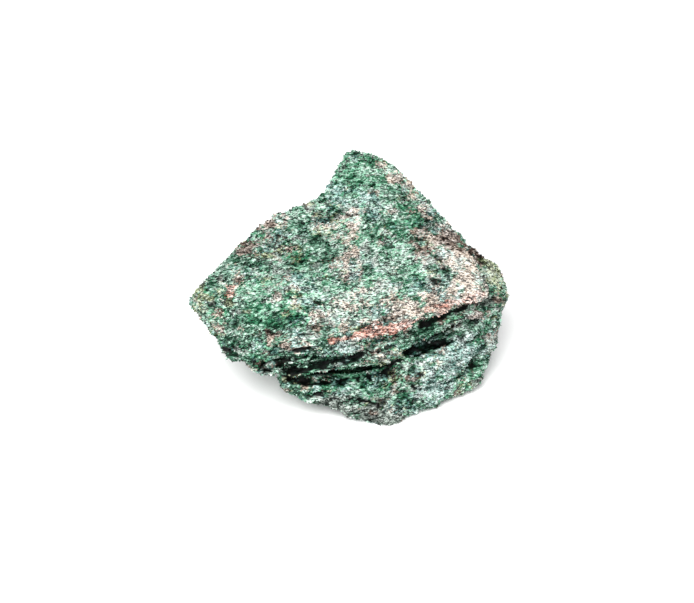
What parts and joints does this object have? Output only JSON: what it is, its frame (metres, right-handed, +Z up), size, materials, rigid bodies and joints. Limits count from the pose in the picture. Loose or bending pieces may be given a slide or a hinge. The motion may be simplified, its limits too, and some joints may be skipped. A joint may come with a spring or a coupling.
{
  "type": "raw fuchsite stone",
  "caption": "Loose rough chunk of green mica schist: a broad sloping top face with a peak, a jutting front lip, and split, ledged layers below it.",
  "frame": {"origin": "on the surface that the stone rests on, under the middle of its outline seen from above", "axes": "+X along the stone's length, toward the blunt nose; +Y to the back, where the peak is; +Z up"},
  "size_m": [0.06, 0.0438, 0.0352],
  "materials": {
    "fuchsite": "satin"
  },
  "bodies": {
    "root": {"fuchsite_stone": "fuchsite"}
  },
  "joints": []
}
